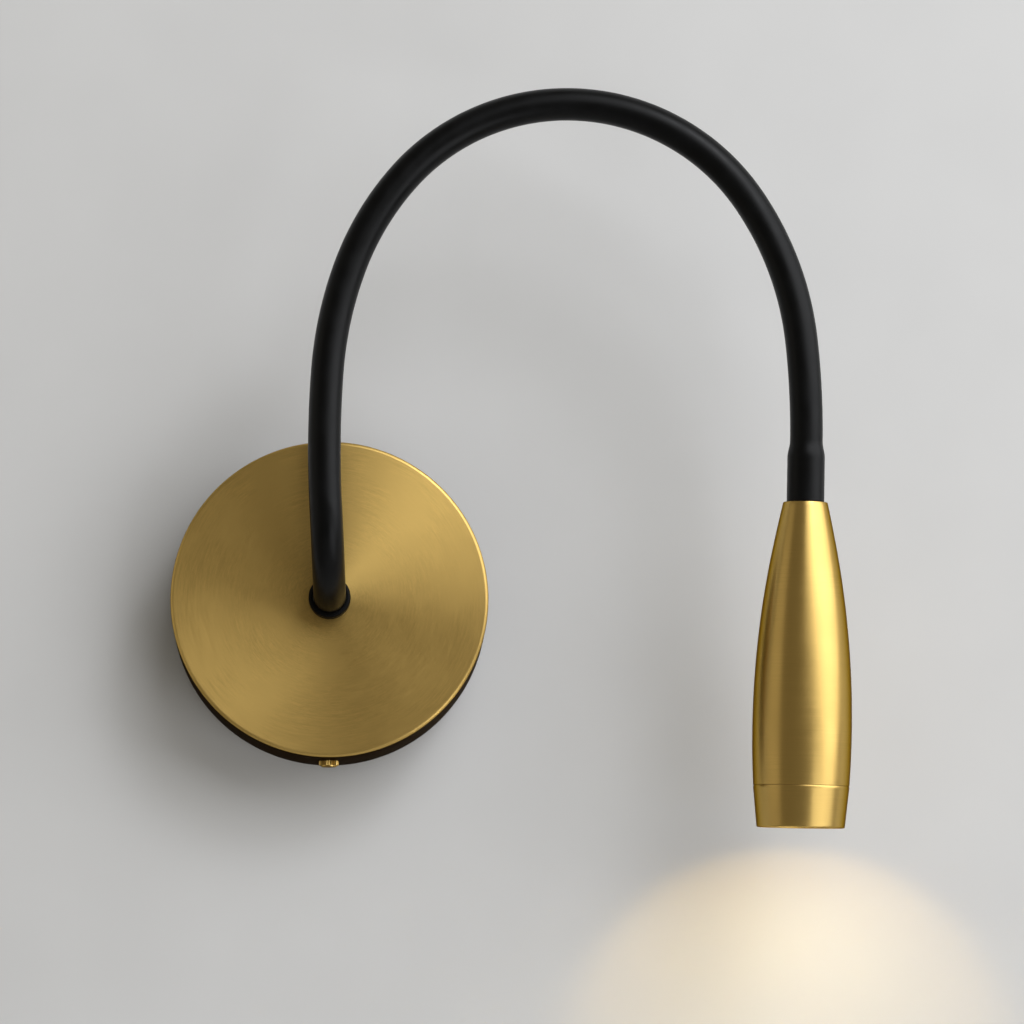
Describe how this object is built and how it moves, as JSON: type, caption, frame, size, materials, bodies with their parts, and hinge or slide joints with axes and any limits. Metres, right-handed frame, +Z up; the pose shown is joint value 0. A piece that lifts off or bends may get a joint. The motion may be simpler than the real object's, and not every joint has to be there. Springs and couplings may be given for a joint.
{
  "type": "flexible wall sconce",
  "caption": "Wall-mounted reading light: round canopy, a bendable hose arm in an arch and a slim turned lamp head pointing down.",
  "frame": {"origin": "on the wall, at the centre of the canopy's back and of the wall screws' line", "axes": "+Y into the wall, +Z up, +X to the right as seen from the room; the room is on the -Y side"},
  "size_m": [0.212, 0.0678, 0.232],
  "materials": {
    "satin_brass": "satin, with fine turned or brushed lines round its axis",
    "plain_brass": "plain machined brass",
    "zinc_steel": "zinc-plated steel",
    "core_steel": "dull wound steel",
    "black_silicone": "matte silicone",
    "black_collar": "satin black",
    "black_plastic": "moulded",
    "white_plastic": "moulded",
    "circuit_board": "solder resist and moulded parts",
    "lead_black": "cable sheath",
    "lead_brown": "wire insulation",
    "lead_green": "wire insulation",
    "aluminium_sink": "clear anodised",
    "pad_grey": "soft pad",
    "board_white": "white solder resist",
    "phosphor": "yellow phosphor over the diodes",
    "clear_lens": "clear moulded optic"
  },
  "bodies": {
    "base": {"canopy": "satin_brass", "wall_plate": "zinc_steel", "cable_grommet": "black_silicone", "canopy_screws": "satin_brass", "earth_screw": "plain_brass", "earth_washer": "zinc_steel", "earth_ring": "zinc_steel", "earth_lead": "lead_green", "terminal_block": "white_plastic", "terminal_clamps": "plain_brass", "terminal_screws": "zinc_steel", "block_screw": "zinc_steel", "driver_case": "white_plastic", "driver_lid": "white_plastic", "driver_board": "circuit_board", "driver_pad": "black_plastic", "driver_input_leads": "lead_brown", "driver_output_lead": "lead_black", "lead_connector": "white_plastic", "base_fitting": "zinc_steel", "base_washer": "zinc_steel", "base_nut": "plain_brass", "base_collar": "black_collar", "arm_core_00": "core_steel", "arm_sleeve": "black_silicone", "arm_lead": "lead_black"},
    "arm_01": {"arm_core_01": "core_steel"},
    "arm_02": {"arm_core_02": "core_steel"},
    "arm_03": {"arm_core_03": "core_steel"},
    "arm_04": {"arm_core_04": "core_steel"},
    "arm_05": {"arm_core_05": "core_steel"},
    "arm_06": {"arm_core_06": "core_steel"},
    "arm_07": {"arm_core_07": "core_steel"},
    "arm_08": {"arm_core_08": "core_steel"},
    "arm_09": {"arm_core_09": "core_steel"},
    "head": {"arm_core_10": "core_steel", "head_fitting": "zinc_steel", "head_shell": "satin_brass", "heat_sink": "aluminium_sink", "thermal_pad": "pad_grey", "led_board": "board_white", "led_emitter": "phosphor", "board_screws": "zinc_steel", "lens_holder": "black_plastic", "lens": "clear_lens", "bezel_ring": "satin_brass"}
  },
  "joints": [
    {"name": "bend_01", "type": "hinge", "parent": "base", "child": "arm_01", "pos_m": [-0.0004, -0.05139, 0.0076], "axis": [0.9986, 0, 0.0523], "range_deg": [-10, 20], "deforming": ["arm_sleeve", "arm_lead"]},
    {"name": "bend_02", "type": "hinge", "parent": "arm_01", "child": "arm_02", "pos_m": [-0.00136, -0.059, 0.02596], "axis": [0, -1, 0], "range_deg": [-35, 35], "deforming": ["arm_sleeve", "arm_lead"]},
    {"name": "bend_03", "type": "hinge", "parent": "arm_02", "child": "arm_03", "pos_m": [-0.001, -0.059, 0.06748], "axis": [0.9976, 0, -0.0698], "range_deg": [-25, 12], "deforming": ["arm_sleeve", "arm_lead"]},
    {"name": "bend_04", "type": "hinge", "parent": "arm_03", "child": "arm_04", "pos_m": [0.00606, -0.059, 0.10069], "axis": [0, -1, 0], "range_deg": [-35, 35], "deforming": ["arm_sleeve", "arm_lead"]},
    {"name": "bend_05", "type": "hinge", "parent": "arm_04", "child": "arm_05", "pos_m": [0.02271, -0.059, 0.12895], "axis": [-0.7547, 0, 0.6561], "range_deg": [-24, 30], "deforming": ["arm_sleeve", "arm_lead"]},
    {"name": "bend_06", "type": "hinge", "parent": "arm_05", "child": "arm_06", "pos_m": [0.05758, -0.059, 0.15032], "axis": [0, 1, 0], "range_deg": [-35, 35], "deforming": ["arm_sleeve", "arm_lead"]},
    {"name": "bend_07", "type": "hinge", "parent": "arm_06", "child": "arm_07", "pos_m": [0.0984, -0.059, 0.14783], "axis": [-0.3584, 0, -0.9336], "range_deg": [-13, 35], "deforming": ["arm_sleeve", "arm_lead"]},
    {"name": "bend_08", "type": "hinge", "parent": "arm_07", "child": "arm_08", "pos_m": [0.1304, -0.059, 0.12237], "axis": [0, 1, 0], "range_deg": [-35, 35], "deforming": ["arm_sleeve", "arm_lead"]},
    {"name": "bend_09", "type": "hinge", "parent": "arm_08", "child": "arm_09", "pos_m": [0.14125, -0.059, 0.10109], "axis": [-0.9397, 0, -0.342], "range_deg": [-10, 35], "deforming": ["arm_sleeve", "arm_lead"]},
    {"name": "bend_10", "type": "hinge", "parent": "arm_09", "child": "head", "pos_m": [0.14662, -0.059, 0.07781], "axis": [0, 1, 0], "range_deg": [-35, 35], "deforming": ["arm_sleeve", "arm_lead"]}
  ]
}
